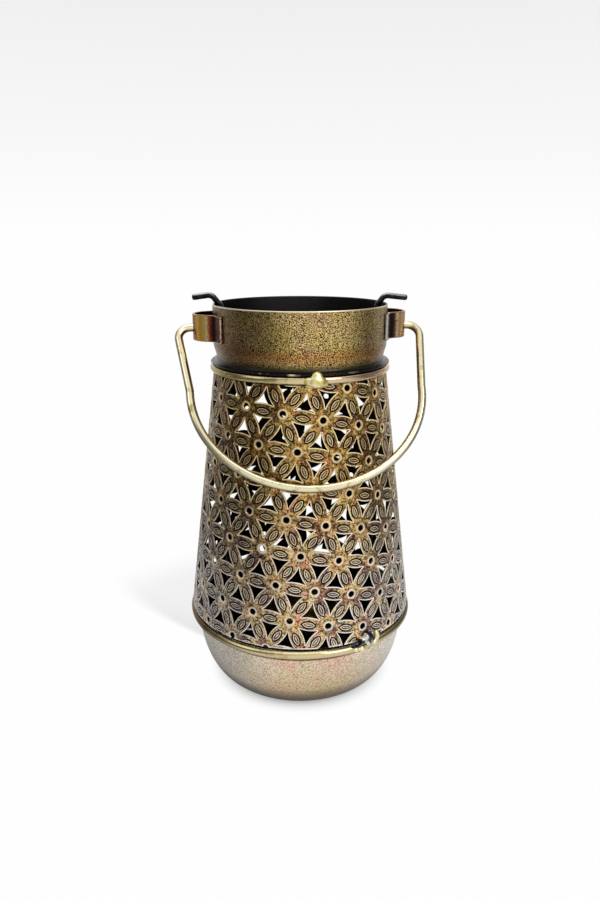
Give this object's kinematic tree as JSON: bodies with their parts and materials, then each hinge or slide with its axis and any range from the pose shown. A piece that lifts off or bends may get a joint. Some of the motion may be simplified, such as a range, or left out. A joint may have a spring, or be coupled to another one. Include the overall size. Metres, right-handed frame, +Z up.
{
  "type": "hanging tea light holder",
  "caption": "Hanging tea light holder: spun bowl, rolled flower-pierced body and collar joined by wire rings, with a swinging wire bail in strip ears and a hooked lift-out tea light cup.",
  "frame": {"origin": "centre of the bowl's flat base, on the surface it stands on", "axes": "+Z up along the body's axis, -Y the front that the bail hangs against, X through the ears"},
  "size_m": [0.127, 0.1254, 0.2098],
  "materials": {
    "bowl_bronze": "satin champagne bronze with fine speckle",
    "ring_brass": "worn bright brass wire with dark patina on top",
    "sheet_bronze": "antiqued, dark grooves and bright worn edges",
    "collar_brass": "speckled antique brass, black inside and at the waist",
    "ear_copper": "heat-tinted strip, gold to copper",
    "bail_brass": "polished pale brass wire",
    "hanger_iron": "glossy black iron wire",
    "cup_brass": "dull antique brass"
  },
  "bodies": {
    "lantern": {"base_bowl": "bowl_bronze", "lower_ring": "ring_brass", "pierced_body": "sheet_bronze", "upper_ring": "ring_brass", "collar": "collar_brass", "ear_left": "ear_copper", "ear_right": "ear_copper"},
    "bail": {"bail_handle": "bail_brass"},
    "hanger": {"hanger_wire": "hanger_iron", "tea_light_cup": "cup_brass"}
  },
  "joints": [
    {"name": "bail_swing", "type": "hinge", "parent": "lantern", "child": "bail", "pos_m": [0, 0, 0.1923], "axis": [-1, 0, 0], "range_deg": [0, 286]},
    {"name": "hanger_lift", "type": "slide", "parent": "lantern", "child": "hanger", "axis": [0, 0, 1], "range_m": [0, 0.2]}
  ]
}
